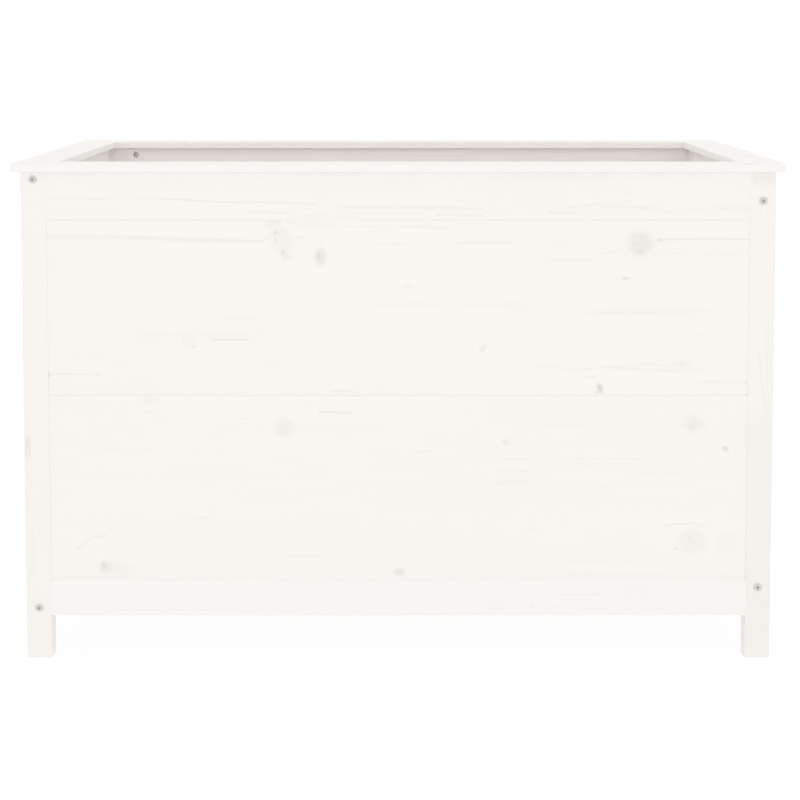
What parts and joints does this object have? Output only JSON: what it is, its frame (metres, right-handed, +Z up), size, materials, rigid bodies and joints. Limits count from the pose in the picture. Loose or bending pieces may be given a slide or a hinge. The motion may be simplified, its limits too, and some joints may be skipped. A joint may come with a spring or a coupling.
{
  "type": "raised garden bed",
  "caption": "Free-standing rectangular raised garden bed of white-painted pine: square posts as feet, framed walls of tongued boards, a mitred rim and a slatted floor, bolted at the corners.",
  "frame": {"origin": "on the ground, below the middle of the bed", "axes": "+X along the bed to the right as seen from the front, +Y from the front wall to the rear wall, +Z up"},
  "size_m": [1.195, 0.825, 0.78],
  "materials": {
    "painted_pine": "white translucent paint, satin, grain and knots showing through faintly",
    "thin_painted_pine": "planed, one thin coat of white paint, matt, grain showing through",
    "zinc_steel": "zinc plated",
    "beech_dowel": "plain turned beech"
  },
  "bodies": {
    "root": {"post_front_left": "painted_pine", "post_front_right": "painted_pine", "post_rear_right": "painted_pine", "post_rear_left": "painted_pine", "top_rail_front": "painted_pine", "top_rail_right": "painted_pine", "top_rail_rear": "painted_pine", "top_rail_left": "painted_pine", "bottom_rail_front": "painted_pine", "bottom_rail_right": "painted_pine", "bottom_rail_rear": "painted_pine", "bottom_rail_left": "painted_pine", "upper_board_front": "painted_pine", "upper_board_right": "painted_pine", "upper_board_rear": "painted_pine", "upper_board_left": "painted_pine", "lower_board_front": "painted_pine", "lower_board_right": "painted_pine", "lower_board_rear": "painted_pine", "lower_board_left": "painted_pine", "rim_front": "painted_pine", "rim_right": "painted_pine", "rim_rear": "painted_pine", "rim_left": "painted_pine", "bearer_front": "thin_painted_pine", "bearer_right": "thin_painted_pine", "bearer_rear": "thin_painted_pine", "bearer_left": "thin_painted_pine", "bearer_middle": "thin_painted_pine", "floor_slat_1": "thin_painted_pine", "floor_slat_2": "thin_painted_pine", "floor_slat_3": "thin_painted_pine", "floor_slat_4": "thin_painted_pine", "floor_slat_5": "thin_painted_pine", "floor_slat_6": "thin_painted_pine", "floor_slat_7": "thin_painted_pine", "floor_slat_8": "thin_painted_pine", "floor_slat_9": "thin_painted_pine", "floor_slat_10": "thin_painted_pine", "floor_slat_11": "thin_painted_pine", "top_rail_bolts": "zinc_steel", "bottom_rail_bolts": "zinc_steel", "top_barrel_nuts": "zinc_steel", "bottom_barrel_nuts": "zinc_steel", "top_rail_dowels": "beech_dowel", "bottom_rail_dowels": "beech_dowel", "rim_dowels": "beech_dowel", "bearer_screws": "zinc_steel", "floor_screws": "zinc_steel"}
  },
  "joints": []
}
